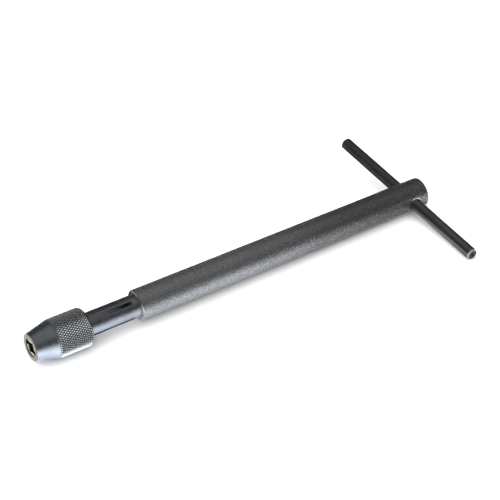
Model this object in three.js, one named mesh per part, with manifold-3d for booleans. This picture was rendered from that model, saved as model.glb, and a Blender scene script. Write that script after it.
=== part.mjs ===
// Long T-handle tap wrench with a two-jaw draw-in chuck.
// Millimetres. +X runs along the tool from the nose to the T-handle, the handle lies along Y, +Z is up.
import * as THREE from 'three';
import { mergeVertices } from 'three/addons/utils/BufferGeometryUtils.js';
import Module from 'manifold-3d';

const wasm = await Module();
wasm.setup();

// ---- driving dimensions: x is measured from the nose face, r from the tool axis ----

const overallLength = 305;
const edgeBreak = 0.3;
const roundSegments = 48;
const innerSegments = 32;
// The nut and the tube are 32-sided outside, so that they stand firmly on their lowest flats.
const outerSides = 32;

// Chuck nut.
const nutLength = 38.6;
const nutRadius = 12.9;
const nutNoseRadius = 9.1;
const nutConeLength = 16.2;
const nutRearRound = 2.6;
const nutHoleRadius = 6;
const nutShoulder = 4;
const nutReliefRadius = 8.4;
const nutRearBore = 7.95;

// Thread between nut and spindle: 18 turns to the inch.
const threadPitch = 25.4 / 18;
const threadCrest = 7.7;
const threadRoot = 7.02;
const threadClearance = 0.13;
const nutThread = { start: 15.5, end: 32 };
const spindleThread = { start: 13.4, end: 36.9 };
const threadSegments = 24;

// Spindle: slotted neck in front, shank pressed into the tube behind.
const neckRadius = 7.8;
const spindleFront = 10.94;
const spindleNoseRadius = 7.1;
const spindleBoreRadius = 5.5;
const spindleBoreEnd = 72;
const mouthRadius = 6.7;
const seatSlope = Math.tan(THREE.MathUtils.degToRad(20));
const seatEnd = spindleFront + (mouthRadius - spindleBoreRadius) / seatSlope;
const collarRadius = 7.98;
const collarWidth = 0.8;
const shankRadius = 7.08;
const shankEnd = 113;
const slotWidth = 2.5;
const slotEnd = 70.3;
const slotCorner = 0.6;

// Tube.
const tubeFront = 75;
const tubeRadius = 10.3;
const tubeBoreRadius = 7.1;
const tubeFrontRound = 1.8;
const tubeRearChamfer = 0.5;

// Jaws: the socket between them is a square, and the slits stand at two of its corners.
const jawTurn = THREE.MathUtils.degToRad(23);
const socketSize = 6.9;
const socketSmallest = 4.9;
const socketLargest = 7.1;
const slitWidth = 2.25;
const jawTravelIn = (socketSize - socketSmallest) / Math.SQRT2;
const jawTravelOut = (socketLargest - socketSize) / Math.SQRT2;
const jawFront = 0.5;
const jawNoseRadius = 5.9;
const jawHeadFront = nutShoulder + 0.04;
const jawTailEnd = 54.7;
const jawTailRadius = 5.4;
const jawTailGap = 1.57;
const jawNotchEnd = 20;
const seatClearance = 0.03;
const keyWidth = 2.3;
const keyBottom = 4.2;
const keyLowTop = 6.7;
const keyHighTop = 7.6;
const keyHighStart = 33;

// Jaw springs: drawn at the length they have with the jaws closed.
const springStations = [26, 47];
const springPocketRadius = 1.7;
const springPocketTop = 4.01;
const jawSpring = { radius: 1.3, wire: 0.24, length: 5.1, turns: 5 };

// T-handle and the friction parts behind the tube's rear end.
const handleRadius = 4.15;
const handleLength = 142;
const handleChamfer = 0.9;
const handleStation = 294;
const handleHoleRadius = 4.22;
const tubeHoleRadius = 4.4;
const tubeHoleFlare = 5.3;
const bushFront = 266;
const bushEnd = 304.4;
const plungerBoreRadius = 2.7;
const plungerBoreFront = 272;
const plungerRadius = 2.62;
const plungerFront = 284.2;
const plungerTipRadius = 1.2;
const frictionSpring = { radius: 2.1, wire: 0.3, length: 11.9, turns: 7 };
const plugThreadStart = 298.5;
const plugCrest = 3.95;
const plugRoot = 3.4;
const plugPitch = 1.25;
const plugThreadSegments = 16;
const plugClearance = 0.1;
const plugFront = 299.3;
const plugRear = 304.3;
const plugSocketFlats = 4;
const plugSocketDepth = 2.4;

// Blind dowels, both on the underside.
const dowelRadius = 1.5;
const dowelHoleRadius = 1.52;
const dowelTurn = THREE.MathUtils.degToRad(210);
const dowelInner = 2.5;
const dowelOuter = 10.15;
const spindleDowelStation = 92;
const bushDowelStation = 277;
const bushDowelInner = 4.2;

// ---- solids ----

// Turns a closed three.js geometry into a solid that can be joined and cut.
function solidOf(geometry) {
  const bare = geometry.index ? geometry.toNonIndexed() : geometry.clone();
  bare.deleteAttribute('normal');
  bare.deleteAttribute('uv');
  const merged = mergeVertices(bare, 1e-4);
  const index = merged.index.array;
  const corners = [];
  for (let i = 0; i < index.length; i += 3) {
    const [a, b, c] = index.slice(i, i + 3);
    if (a !== b && b !== c && c !== a) corners.push(a, b, c);
  }
  const solid = new wasm.Manifold(new wasm.Mesh({
    numProp: 3,
    vertProperties: new Float32Array(merged.attributes.position.array),
    triVerts: new Uint32Array(corners),
  }));
  if (solid.volume() <= 0) throw new Error('a solid came out inside out');
  return solid;
}

function geometryOf(solid) {
  const mesh = solid.getMesh();
  const geometry = new THREE.BufferGeometry();
  geometry.setAttribute('position', new THREE.BufferAttribute(new Float32Array(mesh.vertProperties), 3));
  geometry.setIndex(new THREE.BufferAttribute(new Uint32Array(mesh.triVerts), 1));
  geometry.computeVertexNormals();
  return geometry;
}

const asSolid = (shape) => (shape.isBufferGeometry ? solidOf(shape) : shape);
const join = (...shapes) => shapes.map(asSolid).reduce((sum, solid) => sum.add(solid));
const cut = (shape, ...tools) => tools.map(asSolid).reduce((rest, tool) => rest.subtract(tool), asSolid(shape));
const overlapOf = (one, other) => asSolid(one).intersect(asSolid(other));

// ---- shapes, as three.js geometries ----

// Turned about X: the profile is [x, r] pairs that start and end on the axis, x rising.
function turned(profile, segments = innerSegments) {
  const points = profile.map(([x, r]) => new THREE.Vector2(r, x));
  return new THREE.LatheGeometry(points, segments).rotateZ(-Math.PI / 2);
}

// The same for a large outside: the sides touch the true radius, and one of them faces straight down.
function turnedWithFlats(profile) {
  const halfSide = Math.PI / outerSides;
  const widened = profile.map(([x, r]) => [x, r / Math.cos(halfSide)]);
  return turned(widened, outerSides).rotateX(halfSide);
}

function cylinder(start, end, radius, segments = innerSegments) {
  return turned([[start, 0], [start, radius], [end, radius], [end, 0]], segments);
}

// Profile points on a quarter ellipse that bulges outwards from [x0, r0] to [x1, r1].
function roundedCorner([x0, r0], [x1, r1], steps = 4) {
  const rising = r1 > r0;
  return Array.from({ length: steps + 1 }, (_, i) => {
    const angle = (i / steps) * Math.PI / 2;
    const alongX = rising ? 1 - Math.cos(angle) : Math.sin(angle);
    const alongR = rising ? Math.sin(angle) : 1 - Math.cos(angle);
    return [x0 + (x1 - x0) * alongX, r0 + (r1 - r0) * alongR];
  });
}

function box([x0, y0, z0], [x1, y1, z1]) {
  const geometry = new THREE.BoxGeometry(x1 - x0, y1 - y0, z1 - z0);
  return geometry.translate((x0 + x1) / 2, (y0 + y1) / 2, (z0 + z1) / 2);
}

// Upright rod or cone along Z, standing on the tool axis at the given station.
function uprightRod(station, radius, bottom, top, topRadius = radius) {
  const geometry = new THREE.CylinderGeometry(topRadius, radius, top - bottom, innerSegments);
  geometry.rotateX(Math.PI / 2);
  return geometry.translate(station, 0, (bottom + top) / 2);
}

// Rod along X whose surface is one right-hand V thread; both ends overrun and are trimmed by the caller.
// Threads of one pitch share one phase, so a nut and its spindle mesh.
function threadedRod({ start, end }, crest, root, pitch, segments = threadSegments) {
  const first = pitch * Math.floor(start / pitch - 1);
  const rows = 2 * (Math.ceil((end - first) / pitch) + 2);
  const positions = [];
  for (let i = 0; i < segments; i++) {
    const turn = i / segments;
    for (let j = 0; j <= rows; j++) {
      const radius = j % 2 ? crest : root;
      positions.push(
        first + pitch * (turn + j / 2),
        radius * Math.cos(2 * Math.PI * turn),
        radius * Math.sin(2 * Math.PI * turn),
      );
    }
  }
  const at = (i, j) => i * (rows + 1) + j;
  const lastColumn = segments - 1;
  const corners = [];
  const quad = (a, b, c, d) => corners.push(a, b, c, a, c, d);
  for (let j = 0; j < rows; j++) {
    for (let i = 0; i < lastColumn; i++) {
      quad(at(i, j), at(i + 1, j), at(i + 1, j + 1), at(i, j + 1));
    }
    // The last column meets the first one a pitch further on.
    if (j < rows - 2) quad(at(lastColumn, j), at(0, j + 2), at(0, j + 3), at(lastColumn, j + 1));
  }
  const fan = (x, rim) => {
    const centre = positions.length / 3;
    positions.push(x, 0, 0);
    rim.forEach((corner, k) => corners.push(centre, corner, rim[(k + 1) % rim.length]));
  };
  const columns = Array.from({ length: segments }, (_, i) => i);
  fan(first - pitch, [...columns.map((i) => at(i, 0)), at(0, 2), at(0, 1)].reverse());
  fan(
    first + pitch * (rows / 2 + 2),
    [...columns.map((i) => at(i, rows)), at(lastColumn, rows - 1), at(lastColumn, rows - 2)],
  );
  const geometry = new THREE.BufferGeometry();
  geometry.setAttribute('position', new THREE.Float32BufferAttribute(positions, 3));
  geometry.setIndex(corners);
  return geometry;
}

// Coil along Z with closed ends; steady pitch between them.
class CoilPath extends THREE.Curve {
  constructor({ radius, wire, length, turns }) {
    super();
    Object.assign(this, { radius, turns, rise: length - 2 * wire, wire });
  }

  getPoint(t, target = new THREE.Vector3()) {
    const eased = t - Math.sin(2 * Math.PI * t) / (2 * Math.PI) * 0.7;
    const angle = 2 * Math.PI * this.turns * t;
    return target.set(this.radius * Math.cos(angle), this.radius * Math.sin(angle), this.wire + this.rise * eased);
  }
}

function coil(spring) {
  const wireSection = new THREE.Shape().absarc(0, 0, spring.wire, 0, 2 * Math.PI);
  return new THREE.ExtrudeGeometry(wireSection, {
    steps: spring.turns * 12,
    curveSegments: 3,
    extrudePath: new CoilPath(spring),
  });
}

// ---- sub-parts ----

// Knurled nut: cone nose with the hole for the jaws, flat inner shoulder, thread, plain rear bore.
function chuckNut() {
  const blank = turnedWithFlats([
    [0, 0],
    [0, nutNoseRadius - edgeBreak],
    [edgeBreak, nutNoseRadius],
    [nutConeLength, nutRadius],
    ...roundedCorner([nutLength - nutRearRound, nutRadius], [nutLength, nutRadius - nutRearRound]),
    [nutLength, 0],
  ]);
  const bore = turned([
    [-1, 0],
    [-1, nutHoleRadius],
    [nutShoulder, nutHoleRadius],
    [nutShoulder, nutReliefRadius],
    [nutThread.start, nutReliefRadius],
    [nutThread.start, threadRoot],
    [nutThread.end, threadRoot],
    [nutThread.end, nutRearBore],
    [nutLength + 1, nutRearBore],
    [nutLength + 1, 0],
  ]);
  const rod = threadedRod(nutThread, threadCrest + threadClearance, threadRoot + threadClearance, threadPitch);
  const thread = overlapOf(rod, cylinder(nutThread.start - edgeBreak, nutThread.end + edgeBreak, nutRearBore));
  return cut(blank, bore, thread);
}

// One spindle slot, cut right across the neck along Z.
function slotCutter() {
  const half = slotWidth / 2;
  const outline = new THREE.Shape();
  outline.moveTo(spindleFront - 1, -half);
  outline.lineTo(slotEnd - slotCorner, -half);
  outline.absarc(slotEnd - slotCorner, slotCorner - half, slotCorner, -Math.PI / 2, 0);
  outline.absarc(slotEnd - slotCorner, half - slotCorner, slotCorner, 0, Math.PI / 2);
  outline.lineTo(spindleFront - 1, half);
  const depth = 2 * (neckRadius + 1);
  const geometry = new THREE.ExtrudeGeometry(outline, { depth, bevelEnabled: false, curveSegments: 3 });
  return geometry.translate(0, 0, -depth / 2);
}

// Slotted neck with the external thread and the conical seat of the jaws, and the shank in the tube.
function spindle() {
  const rod = threadedRod(spindleThread, threadCrest, threadRoot, threadPitch);
  const threadBlank = turned([
    [spindleThread.start - 0.2, 0],
    [spindleThread.start - 0.2, threadRoot],
    [spindleThread.start + 0.6, threadCrest + 0.1],
    [spindleThread.end, threadCrest + 0.1],
    [spindleThread.end, 0],
  ]);
  const nose = cylinder(spindleFront, spindleThread.start, spindleNoseRadius);
  const neck = turned([
    [spindleThread.end - 0.3, 0],
    [spindleThread.end - 0.3, threadRoot],
    [spindleThread.end + 0.4, neckRadius],
    [tubeFront - collarWidth, neckRadius],
    [tubeFront - collarWidth, collarRadius],
    [tubeFront, collarRadius],
    [tubeFront, 0],
  ], roundSegments);
  const shank = turned([
    [tubeFront - 1, 0],
    [tubeFront - 1, shankRadius],
    [shankEnd - 0.8, shankRadius],
    [shankEnd, shankRadius - 0.8],
    [shankEnd, 0],
  ]);
  const bore = turned([
    [spindleFront - 1, 0],
    [spindleFront - 1, mouthRadius + seatSlope],
    [seatEnd, spindleBoreRadius],
    [spindleBoreEnd, spindleBoreRadius],
    [spindleBoreEnd + 2, 0],
  ]);
  return cut(
    join(overlapOf(rod, threadBlank), nose, neck, shank),
    bore,
    slotCutter().rotateX(jawTurn),
    slotCutter().rotateX(jawTurn + Math.PI / 2),
    dowel(spindleDowelStation, dowelHoleRadius, dowelInner - 0.3, dowelOuter),
  );
}

// Jaw on the +Z side of the axis; the group that holds both jaws turns it to its place.
function jaw() {
  const headRadius = mouthRadius - seatClearance;
  const headConeStart = spindleFront - jawTravelIn / seatSlope;
  const coneEnd = seatEnd + jawTravelOut / seatSlope;
  const head = turned([
    [jawHeadFront, 0],
    [jawHeadFront, headRadius],
    [headConeStart, headRadius],
    [coneEnd, headRadius - seatSlope * (coneEnd - headConeStart)],
    [coneEnd, 0],
  ]).translate(0, 0, jawTravelIn);
  const nose = turned([
    [jawFront, 0],
    [jawFront, jawNoseRadius - edgeBreak],
    [jawFront + edgeBreak, jawNoseRadius],
    [jawHeadFront + 1, jawNoseRadius],
    [jawHeadFront + 1, 0],
  ]).translate(0, 0, -jawTravelOut);
  const tail = turned([
    [jawHeadFront + 0.5, 0],
    [jawHeadFront + 0.5, jawTailRadius],
    [jawTailEnd - 0.5, jawTailRadius],
    [jawTailEnd, jawTailRadius - 0.5],
    [jawTailEnd, 0],
  ]).translate(0, 0, -jawTravelOut);
  const half = keyWidth / 2;
  const lowKey = box([headConeStart, -half, keyBottom], [keyHighStart + 0.1, half, keyLowTop]);
  const highKey = box([keyHighStart, -half, keyBottom], [jawTailEnd, half, keyHighTop]);
  // What is left to the other jaw behind the notch.
  const partnerSide = box([jawFront - 1, -10, -20], [jawTailEnd + 1, 10, jawTailGap]);
  const springPockets = springStations.map((x) => uprightRod(x, springPocketRadius, -1, springPocketTop));
  return cut(join(head, nose, tail, lowKey, highKey), partnerSide, ...notch(), ...springPockets);
}

// L-shaped space at the front: two sides of the square socket, and the slit beyond one corner.
function notch() {
  const half = socketSize / 2;
  const square = box([jawFront - 1, -half, -20], [jawNotchEnd, 20, half]);
  const beyondSlit = box([jawFront - 1, -20, -20], [jawNotchEnd, 20, slitWidth - half]);
  return [square, beyondSlit].map((shape) => shape.rotateX(-Math.PI / 4));
}

// Hollow tube with the holes for the T-handle and the two dowels.
function bodyTube() {
  const blank = turnedWithFlats([
    [tubeFront, 0],
    ...roundedCorner([tubeFront, tubeRadius - tubeFrontRound], [tubeFront + tubeFrontRound, tubeRadius]),
    [overallLength - tubeRearChamfer, tubeRadius],
    [overallLength, tubeRadius - tubeRearChamfer],
    [overallLength, 0],
  ]);
  return cut(
    blank,
    cylinder(tubeFront - 1, overallLength + 1, tubeBoreRadius),
    handleHole(tubeHoleRadius),
    handleHoleFlare().rotateX(Math.PI / 2),
    handleHoleFlare().rotateX(-Math.PI / 2),
    dowel(spindleDowelStation, dowelHoleRadius, dowelInner, dowelOuter + 1),
    dowel(bushDowelStation, dowelHoleRadius, dowelInner, dowelOuter + 1),
  );
}

function handleHole(radius) {
  return uprightRod(handleStation, radius, -tubeRadius - 1, tubeRadius + 1).rotateX(Math.PI / 2);
}

// Countersink for the place where the handle hole breaks out of the tube, pointing up.
function handleHoleFlare() {
  const depth = tubeHoleFlare - tubeHoleRadius;
  const bottom = tubeRadius - 2 * depth;
  const top = tubeRadius + depth;
  return uprightRod(handleStation, tubeHoleRadius - depth, bottom, top, tubeHoleFlare + depth);
}

// Radial rod on the underside, used for a dowel and, a little wider, for its hole.
function dowel(station, radius, inner, outer) {
  return uprightRod(station, radius, inner, outer).rotateX(dowelTurn);
}

// Solid rear end of the tube: guides the handle and holds the plunger, its spring and the end plug.
function tailBush() {
  const blank = turned([
    [bushFront, 0],
    [bushFront, shankRadius - 0.8],
    [bushFront + 0.8, shankRadius],
    [bushEnd - 0.4, shankRadius],
    [bushEnd, shankRadius - 0.4],
    [bushEnd, 0],
  ]);
  const plugBore = cylinder(handleStation, overallLength + 1, plugRoot + plugClearance, plugThreadSegments);
  const threadEnds = cylinder(plugThreadStart, bushEnd + 1, plugCrest + 1);
  return cut(
    blank,
    handleHole(handleHoleRadius),
    cylinder(plungerBoreFront, handleStation, plungerBoreRadius),
    plugBore,
    overlapOf(plugThread(plugThreadStart, bushEnd + 1, plugClearance), threadEnds),
    dowel(bushDowelStation, dowelHoleRadius, bushDowelInner - 0.3, dowelOuter),
  );
}

function plugThread(start, end, clearance) {
  const crest = plugCrest + clearance;
  return threadedRod({ start, end }, crest, plugRoot + clearance, plugPitch, plugThreadSegments);
}

// Round-nosed plunger that presses on the handle.
function frictionPlunger() {
  const tip = handleStation - handleRadius - 0.02;
  return turned([
    [plungerFront, 0],
    [plungerFront, plungerRadius],
    ...roundedCorner([tip - 1.6, plungerRadius], [tip, plungerTipRadius]),
    [tip, 0],
  ]);
}

// Threaded plug with a hexagon socket, flush with the rear end.
function rearPlug() {
  const blank = turned([
    [plugFront, 0],
    [plugFront, plugRoot],
    [plugFront + 0.6, plugCrest + 0.1],
    [plugRear - 0.6, plugCrest + 0.1],
    [plugRear, plugRoot],
    [plugRear, 0],
  ], plugThreadSegments);
  const socketRadius = plugSocketFlats / Math.sqrt(3);
  const socket = turned([
    [plugRear - plugSocketDepth - 0.6, 0],
    [plugRear - plugSocketDepth, socketRadius],
    [plugRear + 1, socketRadius],
    [plugRear + 1, 0],
  ], 6);
  return cut(overlapOf(plugThread(plugFront, plugRear, 0), blank), socket);
}

// Plain sliding bar with chamfered ends and a centre mark in each end face.
function teeHandle() {
  const half = handleLength / 2;
  const centreMark = () => turned([[half - 1.6, 0], [half + 0.2, 1.8], [half + 0.2, 0]]);
  const bar = turned([
    [-half, 0],
    [-half, handleRadius - handleChamfer],
    [handleChamfer - half, handleRadius],
    [half - handleChamfer, handleRadius],
    [half, handleRadius - handleChamfer],
    [half, 0],
  ]);
  return cut(bar, centreMark(), centreMark().rotateZ(Math.PI));
}

// ---- assembly ----

const blackenedSteel = { color: 0x3c3b3d, roughness: 0.5, metalness: 0.85 };
const bluedSteel = { color: 0x3a4247, roughness: 0.3, metalness: 0.9 };
const brightSteel = { color: 0xa9a29a, roughness: 0.35, metalness: 1 };
const springSteel = { color: 0x8a8d92, roughness: 0.3, metalness: 1 };

function piece(name, shape, finish) {
  const geometry = shape.isBufferGeometry ? shape : geometryOf(shape);
  const mesh = new THREE.Mesh(geometry, new THREE.MeshStandardMaterial(finish));
  mesh.name = name;
  return mesh;
}

// Both jaws and their springs, turned about the tool axis together.
function jawSet() {
  const set = new THREE.Group();
  set.rotation.x = jawTurn;
  const upper = piece('jaw_a', jaw(), brightSteel);
  const lower = piece('jaw_b', jaw(), brightSteel);
  lower.rotation.x = Math.PI;
  set.add(upper, lower);
  ['jaw_spring_front', 'jaw_spring_rear'].forEach((name, i) => {
    const spring = piece(name, coil(jawSpring), springSteel);
    spring.position.set(springStations[i], 0, -jawSpring.length / 2);
    set.add(spring);
  });
  return set;
}

function frictionParts() {
  const spring = piece('friction_spring', coil(frictionSpring), springSteel);
  spring.rotation.y = Math.PI / 2;
  spring.position.x = plungerBoreFront + 0.15;
  return [spring, piece('friction_plunger', frictionPlunger(), brightSteel)];
}

function dowels() {
  return [
    piece('spindle_pin', dowel(spindleDowelStation, dowelRadius, dowelInner, dowelOuter), brightSteel),
    piece('bush_pin', dowel(bushDowelStation, dowelRadius, bushDowelInner, dowelOuter), brightSteel),
  ];
}

const handle = piece('tee_handle', teeHandle(), blackenedSteel);
handle.rotation.z = Math.PI / 2;
handle.position.x = handleStation;

const tool = new THREE.Group();
tool.add(
  piece('body_tube', bodyTube(), blackenedSteel),
  piece('spindle', spindle(), blackenedSteel),
  piece('chuck_nut', chuckNut(), bluedSteel),
  jawSet(),
  handle,
  piece('tail_bush', tailBush(), blackenedSteel),
  piece('rear_plug', rearPlug(), brightSteel),
  ...frictionParts(),
  ...dowels(),
);
// The frame's origin is under the middle of the tool, level with the lowest point of the nut.
tool.position.set(-overallLength / 2, 0, nutRadius);

export default tool;
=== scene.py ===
"""Looks of the tap wrench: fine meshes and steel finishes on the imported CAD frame.

Pieces are made in millimetres, x from the nose face and y, z from the tool axis, and then set into the
row frame. Angles are turned about the tool axis from straight up.
"""

import math

import bmesh
import bpy
import numpy as np
from mathutils import Matrix, Vector, noise


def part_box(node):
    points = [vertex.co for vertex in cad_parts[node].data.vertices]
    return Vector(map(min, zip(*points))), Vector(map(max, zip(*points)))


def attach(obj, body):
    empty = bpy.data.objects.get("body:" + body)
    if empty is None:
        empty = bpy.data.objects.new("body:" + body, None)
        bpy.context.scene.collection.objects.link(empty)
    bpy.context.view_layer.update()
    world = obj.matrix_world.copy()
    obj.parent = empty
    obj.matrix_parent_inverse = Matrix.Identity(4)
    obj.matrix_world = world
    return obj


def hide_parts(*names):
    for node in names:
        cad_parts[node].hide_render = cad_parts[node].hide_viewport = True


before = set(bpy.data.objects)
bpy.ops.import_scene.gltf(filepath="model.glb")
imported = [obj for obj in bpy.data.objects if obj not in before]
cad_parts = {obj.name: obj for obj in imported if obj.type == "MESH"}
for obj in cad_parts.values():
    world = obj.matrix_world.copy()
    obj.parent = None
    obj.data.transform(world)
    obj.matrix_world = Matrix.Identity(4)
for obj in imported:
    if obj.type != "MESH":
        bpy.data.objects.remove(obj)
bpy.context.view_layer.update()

# ---- sizes from the frame ----

MM = 0.001
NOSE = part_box("chuck_nut")[0].x
AXIS = sum(corner.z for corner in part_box("chuck_nut")) / 2


def along(node):
    """Where a CAD node starts and ends along the tool."""
    low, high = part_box(node)
    return (low.x - NOSE) / MM, (high.x - NOSE) / MM


def thickness(node):
    low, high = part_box(node)
    return (high.z - low.z) / MM


NUT_LENGTH = along("chuck_nut")[1]
NUT_RADIUS = thickness("chuck_nut") / 2
TUBE_FRONT, TUBE_REAR = along("body_tube")
TUBE_RADIUS = thickness("body_tube") / 2
SPINDLE_FRONT, SHANK_END = along("spindle")
JAW_FRONT, JAW_END = along("jaw_a")
BUSH_FRONT, BUSH_END = along("tail_bush")
BUSH_RADIUS = thickness("tail_bush") / 2
PLUG_FRONT, PLUG_REAR = along("rear_plug")
PLUNGER_FRONT, PLUNGER_TIP = along("friction_plunger")
PLUNGER_RADIUS = thickness("friction_plunger") / 2
HANDLE_STATION = sum(along("tee_handle")) / 2
HANDLE_RADIUS = thickness("tee_handle") / 2
HANDLE_LENGTH = (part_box("tee_handle")[1].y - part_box("tee_handle")[0].y) / MM

# ---- driving dimensions ----

SIDES = 160
TUBE_SIDES = 144
HANDLE_SIDES = 128
HOLE_SIDES = 96
PIN_SIDES = 64
EDGE = 0.12

NUT_NOSE_RADIUS = 9.1
NUT_CONE_LENGTH = 16.2
NUT_REAR_ROUND = 2.6
NUT_HOLE_RADIUS = 6
NUT_MOUTH_BEVEL = 0.35
NUT_SHOULDER = 4
NUT_RELIEF_RADIUS = 8.4
NUT_REAR_BORE = 7.95
KNURL_STARTS = 48
KNURL_STEP = 2.75
KNURL_DEPTH = 0.55
KNURL_SAMPLES = 10
KNURL_FLATTENING = 1.22

THREAD_PITCH = 25.4 / 18
THREAD_CREST = 7.7
THREAD_ROOT = 7.02
THREAD_CLEARANCE = 0.13
NUT_THREAD = (15.5, 32)
NUT_THREAD_TRIM = 10
SPINDLE_THREAD = (13.4, 36.9)

NECK_RADIUS = 7.8
COLLAR_RADIUS = 7.98
COLLAR_WIDTH = 0.8
COLLAR_EDGE = 0.08
SHANK_RADIUS = 7.08
SPINDLE_BORE = 5.5
SPINDLE_BORE_END = 72
MOUTH_RADIUS = 6.7
SEAT_SLOPE = math.tan(math.radians(20))
SEAT_END = SPINDLE_FRONT + (MOUTH_RADIUS - SPINDLE_BORE) / SEAT_SLOPE
SLOT_WIDTH = 2.5
SLOT_END = 70.3
SLOT_CORNER = 0.6
SLOT_EDGE = 0.1

TUBE_BORE = 7.1
TUBE_FRONT_ROUND = 1.8
TUBE_REAR_CHAMFER = 0.5
TUBE_GRAIN = 0.07
TUBE_GRAIN_STEP = 0.47
TUBE_GRAIN_FINENESS = 0.75

JAW_TURN = math.radians(23)
SOCKET = 6.9
SOCKET_CLOSED = 4.9
SOCKET_OPEN = 7.1
SLIT = 2.25
TRAVEL_IN = (SOCKET - SOCKET_CLOSED) / math.sqrt(2)
TRAVEL_OUT = (SOCKET_OPEN - SOCKET) / math.sqrt(2)
JAW_NOSE_RADIUS = 5.9
JAW_TAIL_RADIUS = 5.4
JAW_TAIL_GAP = 1.57
JAW_NOTCH_END = 20
JAW_EDGE = 0.09
JAW_HEAD_FRONT = NUT_SHOULDER + 0.04
SEAT_CLEARANCE = 0.03
KEY_WIDTH = 2.3
KEY_BOTTOM = 4.2
KEY_LOW_TOP = 6.7
KEY_HIGH_TOP = 7.6
KEY_HIGH_START = 33
SPRING_POCKET = 1.7
SPRING_POCKET_TOP = 4.01
JAW_SPRING = {"radius": 1.3, "wire": 0.24, "length": 5.1, "turns": 5}

HANDLE_HOLE = 4.22
TUBE_HOLE = 4.4
TUBE_COUNTERSINK = 0.9
HANDLE_CHAMFER = 0.9
HANDLE_CENTRE = 1.45
HANDLE_CENTRE_DEPTH = 1.3
PLUNGER_BORE = 2.7
PLUNGER_BORE_FRONT = 272
PLUNGER_NOSE = 1.2
FRICTION_SPRING = {"radius": 2.1, "wire": 0.3, "length": 11.9, "turns": 7}
PLUG_THREAD_START = 298.5
PLUG_CREST = 3.95
PLUG_ROOT = 3.4
PLUG_PITCH = 1.25
PLUG_CLEARANCE = 0.1
PLUG_THREAD_TRIM = 6
PLUG_SOCKET_FLATS = 4
PLUG_SOCKET = PLUG_SOCKET_FLATS / math.sqrt(3)
PLUG_SOCKET_DEPTH = 2.4

DOWEL_RADIUS = 1.5
DOWEL_HOLE = DOWEL_RADIUS + 0.02
DOWEL_TURN = math.radians(210)
DOWEL_TOP = 10.15
DOWEL_DOME = 0.25
DOWEL_FEET = {"spindle_pin": 2.5, "bush_pin": 4.2}
DOWEL_HOLE_FEET = {"spindle_pin": 2.2, "bush_pin": 3.9}
TUBE_DOWEL_HOLE_FOOT = 2

CAMERA_TURN = math.radians(-34.33)
CAMERA_RISE = math.radians(36.65)
CAMERA_TARGET = Vector((177.7, 21.8, 0)) * MM
CAMERA_DISTANCE = 1.151
CAMERA_LENS = 123.3
FLOOR_REACH = 3

# ---- mesh tools ----


def solid(name, corners, faces):
    mesh = bpy.data.meshes.new(name)
    mesh.from_pydata(corners, [], faces)
    piece = bpy.data.objects.new(name, mesh)
    bpy.context.scene.collection.objects.link(piece)
    return piece


def rounded(points, steps=3):
    """A profile whose corners are rounded where a point carries a third number, the radius."""
    profile = [points[0][:2]]
    for before, corner, after in zip(points, points[1:], points[2:]):
        if not any(corner[2:]):
            profile.append(corner[:2])
            continue
        tip = Vector(corner[:2])
        back = Vector(before[:2]) - tip
        on = Vector(after[:2]) - tip
        reach = corner[2] / math.tan(back.angle(on) / 2)
        start = tip + back.normalized() * reach
        end = tip + on.normalized() * reach
        for step in range(steps + 1):
            t = step / steps
            profile.append(tuple(start * (1 - t) ** 2 + tip * 2 * t * (1 - t) + end * t**2))
    profile.append(points[-1][:2])
    return profile


def turned(name, profile, sides=SIDES, phase=0.0, shape=None, split=None):
    """Solid turned about the tool axis from (x, r) points that start and end on the axis, x rising.

    shape(x, r, angle) may change the radii, and split(x, angle) picks the diagonal that halves a face.
    """
    rings = profile[1:-1]
    x = np.array([[point[0]] for point in rings])
    angle = phase + 2 * np.pi * np.arange(sides)[None, :] / sides
    r = np.array([[point[1]] for point in rings]) + 0 * angle
    if shape:
        r = shape(x + 0 * angle, r, angle + 0 * x)
    surface = np.stack([x + 0 * angle, -r * np.sin(angle), r * np.cos(angle)], axis=-1)
    last = 1 + len(rings) * sides
    corners = np.vstack([[[profile[0][0], 0, 0]], surface.reshape(-1, 3), [[profile[-1][0], 0, 0]]])
    column = np.arange(sides)
    beside = (column + 1) % sides
    row = 1 + sides * np.arange(len(rings) - 1)[:, None]
    a, b = row + column, row + beside
    c, d = b + sides, a + sides
    if split is None:
        faces = np.stack([a, b, c, d], axis=-1).reshape(-1, 4).tolist()
    else:
        falling = split((x[:-1] + x[1:]) / 2 + 0 * angle, angle + np.pi / sides + 0 * x[:-1])
        first = np.where(falling[..., None], np.stack([a, b, d], -1), np.stack([a, b, c], -1))
        second = np.where(falling[..., None], np.stack([b, c, d], -1), np.stack([a, c, d], -1))
        faces = np.concatenate([first.reshape(-1, 3), second.reshape(-1, 3)]).tolist()
    faces += [(0, 1 + k, 1 + j) for j, k in zip(column.tolist(), beside.tolist())]
    rim = last - sides
    faces += [(rim + j, rim + k, last) for j, k in zip(column.tolist(), beside.tolist())]
    return solid(name, corners.tolist(), faces)


def rod(name, start, end, radius, sides=SIDES):
    return turned(name, [(start, 0), (start, radius), (end, radius), (end, 0)], sides)


def moved(piece, *matrices):
    for matrix in matrices:
        piece.data.transform(matrix)
    return piece


def turn(angle, axis="X"):
    return Matrix.Rotation(angle, 4, axis)


def shift(x=0, y=0, z=0):
    return Matrix.Translation((x, y, z))


def upright(piece, station):
    """Stands a piece made along the tool axis up along Z at a station."""
    return moved(piece, turn(-math.pi / 2, "Y"), shift(station))


def prism(name, outline, bottom, top):
    """Solid between two heights over an anticlockwise outline of (x, y) points."""
    n = len(outline)
    corners = [(x, y, z) for z in (bottom, top) for x, y in outline]
    walls = [(i, (i + 1) % n, n + (i + 1) % n, n + i) for i in range(n)]
    return solid(name, corners, [tuple(reversed(range(n))), tuple(range(n, 2 * n)), *walls])


def block(low, high):
    outline = [(low[0], low[1]), (high[0], low[1]), (high[0], high[1]), (low[0], high[1])]
    return prism("block", outline, low[2], high[2])


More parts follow.
